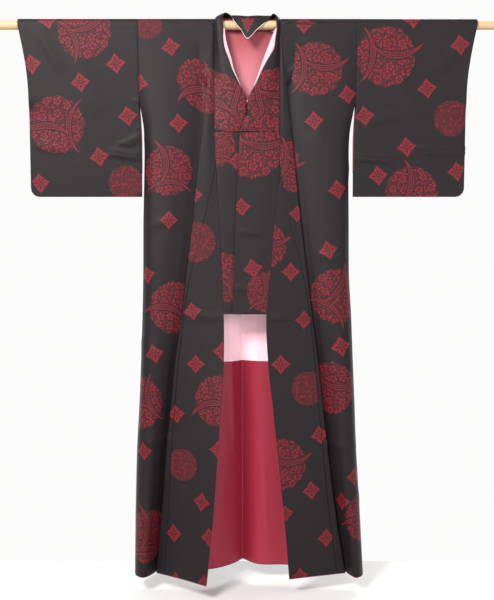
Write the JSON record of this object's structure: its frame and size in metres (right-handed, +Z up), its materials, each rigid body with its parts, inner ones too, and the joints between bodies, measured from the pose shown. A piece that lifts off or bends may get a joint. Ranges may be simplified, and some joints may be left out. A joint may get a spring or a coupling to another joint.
{
  "type": "kimono hung on a rod",
  "caption": "Lined silk kimono hung open on a round wooden rod run through both sleeves, with its collar bands crossed at the front and its overlaps parted below.",
  "frame": {"origin": "middle of the rod's axis, where the rod is held", "axes": "+Z up, against the hang of the cloth; the kimono's front faces -Y; +X towards the viewer's right, along the rod"},
  "size_m": [1.5, 0.2211, 1.6019],
  "materials": {
    "silk_cloth": "black-brown silk crepe with woven crimson figures, low sheen",
    "body_lining_silk": "pale pink plain silk, soft sheen",
    "collar_lining_silk": "very pale pink plain silk, soft sheen",
    "skirt_lining_silk": "crimson plain silk, soft sheen",
    "rod_wood": "pale planed wood, satin"
  },
  "bodies": {
    "root": {"rod": "rod_wood", "body_left": "silk_cloth", "body_right": "silk_cloth", "overlap_left": "silk_cloth", "overlap_right": "silk_cloth", "sleeve_left": "silk_cloth", "sleeve_right": "silk_cloth", "collar_left": "silk_cloth", "collar_right": "silk_cloth", "over_collar": "silk_cloth", "collar_lining_left": "collar_lining_silk", "collar_lining_right": "collar_lining_silk", "back_lining": "body_lining_silk", "skirt_lining_back": "skirt_lining_silk", "skirt_lining_left": "skirt_lining_silk", "skirt_lining_right": "skirt_lining_silk", "sleeve_lining_left": "skirt_lining_silk", "sleeve_lining_right": "skirt_lining_silk"}
  },
  "joints": []
}
